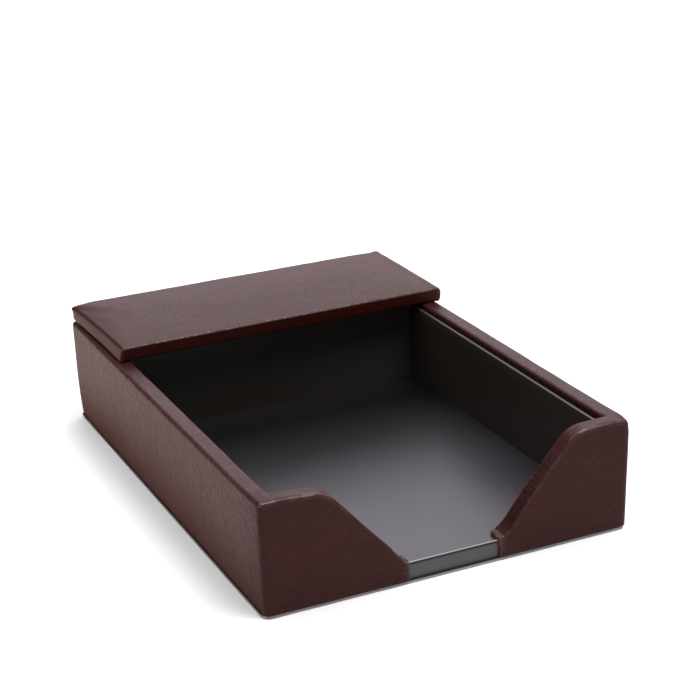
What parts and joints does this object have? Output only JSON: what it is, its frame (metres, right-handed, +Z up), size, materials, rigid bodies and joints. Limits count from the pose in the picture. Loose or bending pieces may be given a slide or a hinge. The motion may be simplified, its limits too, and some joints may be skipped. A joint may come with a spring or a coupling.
{
  "type": "memo pad holder",
  "caption": "Open leather-covered desk tray for memo sheets, with a scooped front wall and a padded lid hinged over a rear compartment.",
  "frame": {"origin": "middle of the footprint, on the surface the holder stands on", "axes": "+X to the right seen from the front, +Y to the rear where the lid is, +Z up"},
  "size_m": [0.1214, 0.1778, 0.043],
  "materials": {
    "leather": "dark burgundy brown, fine pebbled grain, soft sheen",
    "lining": "smooth charcoal leatherette, satin",
    "board": "raw fibreboard",
    "padding": "thin upholstery foam",
    "felt": "thin grey felt"
  },
  "bodies": {
    "case": {"base_board": "board", "base_felt": "felt", "left_wall_board": "board", "right_wall_board": "board", "back_wall_board": "board", "front_left_wing_board": "board", "front_right_wing_board": "board", "outer_leather_cover": "leather", "floor_lining": "lining", "left_lining": "lining", "right_lining": "lining", "front_left_lining": "lining", "front_right_lining": "lining", "back_lining": "lining", "divider_board": "board", "divider_lining": "lining", "lid_hinge_strip": "leather"},
    "lid": {"lid_board": "board", "lid_foam_pad": "padding", "lid_leather_cover": "leather", "lid_lining_panel": "lining"}
  },
  "joints": [
    {"name": "lid_hinge", "type": "hinge", "parent": "case", "child": "lid", "pos_m": [0, 0.0872, 0.0357], "axis": [-1, 0, 0], "range_deg": [0, 130], "deforming": ["lid_hinge_strip"]}
  ]
}
